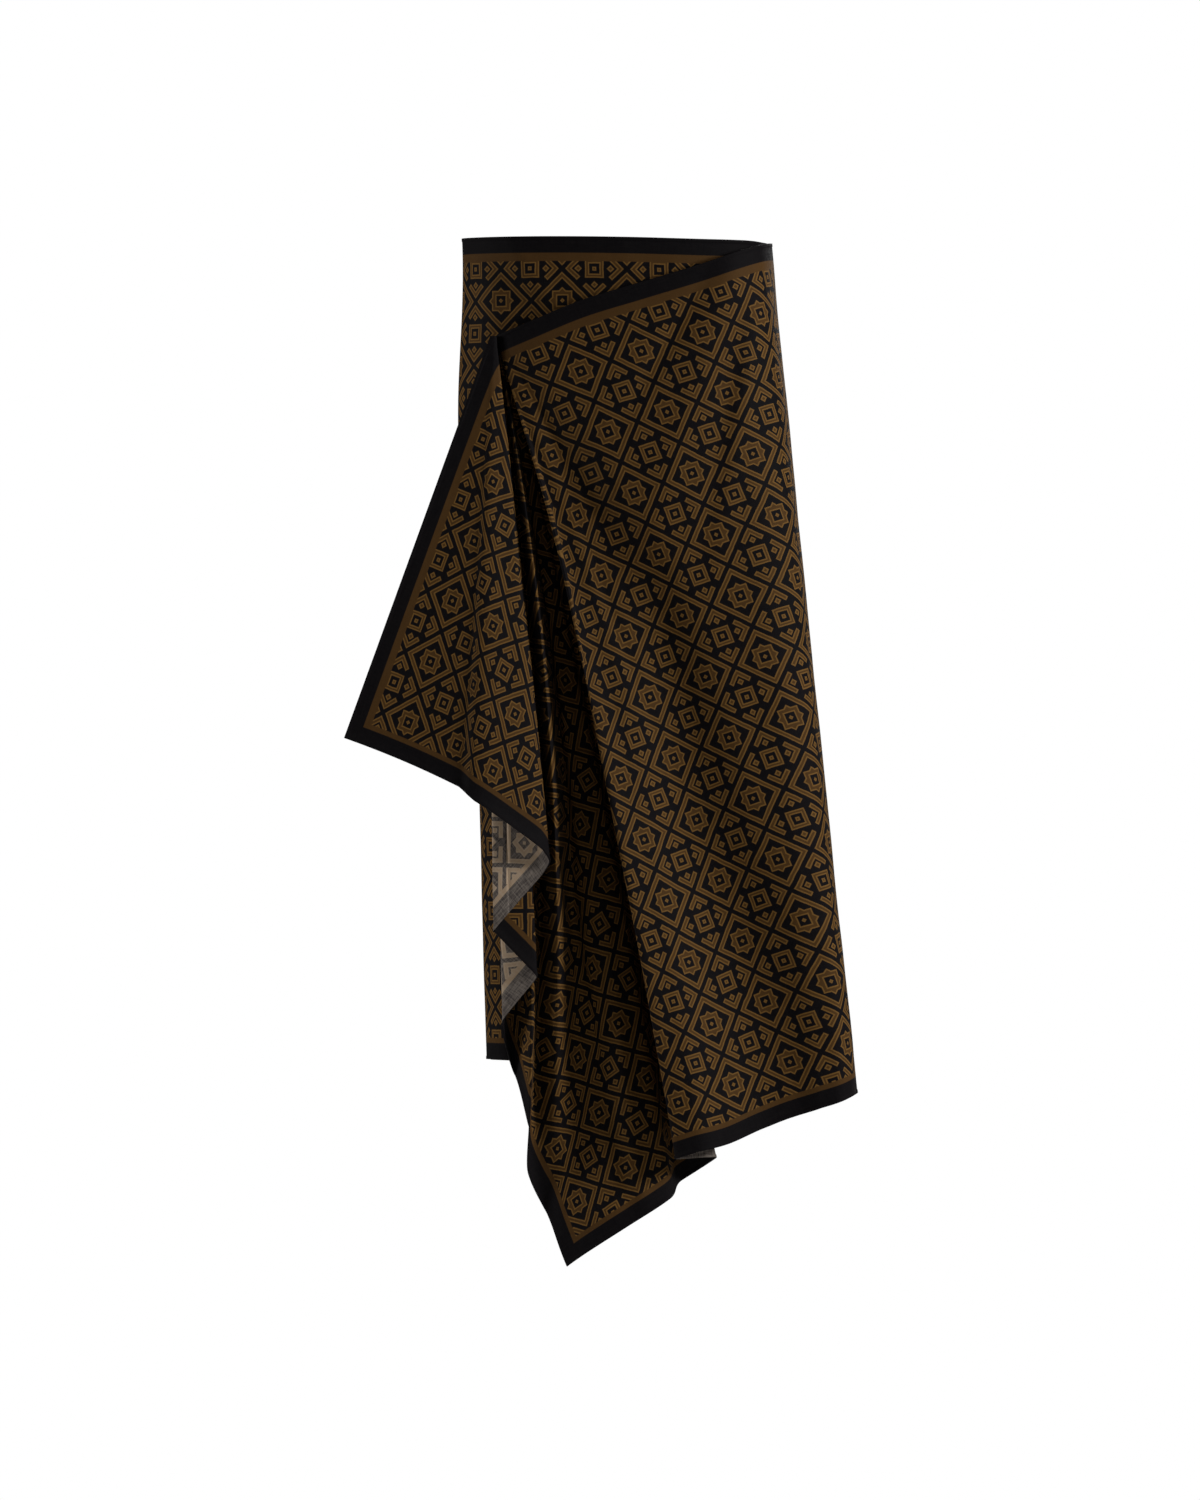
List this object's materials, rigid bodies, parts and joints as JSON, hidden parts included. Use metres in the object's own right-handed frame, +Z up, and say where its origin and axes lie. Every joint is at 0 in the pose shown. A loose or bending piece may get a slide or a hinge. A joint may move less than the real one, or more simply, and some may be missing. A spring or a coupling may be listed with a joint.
{
  "type": "worn sarong",
  "caption": "Hemmed rectangle of printed cotton cloth wound round the hips, gathered at one hip, with a free end that falls in a stepped cascade.",
  "frame": {"origin": "middle of the waist opening, level with the top hem of the layer next to the body", "axes": "+Z up along the wearer, +X to the viewer's right as seen from the front, -Y out of the wearer's front"},
  "size_m": [0.6143, 0.3161, 1.2372],
  "materials": {
    "printed_cotton": "matt"
  },
  "bodies": {
    "root": {"under_front": "printed_cotton", "back": "printed_cotton", "outer_front": "printed_cotton", "gathered_fall": "printed_cotton", "cascade_folds": "printed_cotton", "corner_flap": "printed_cotton"}
  },
  "joints": []
}
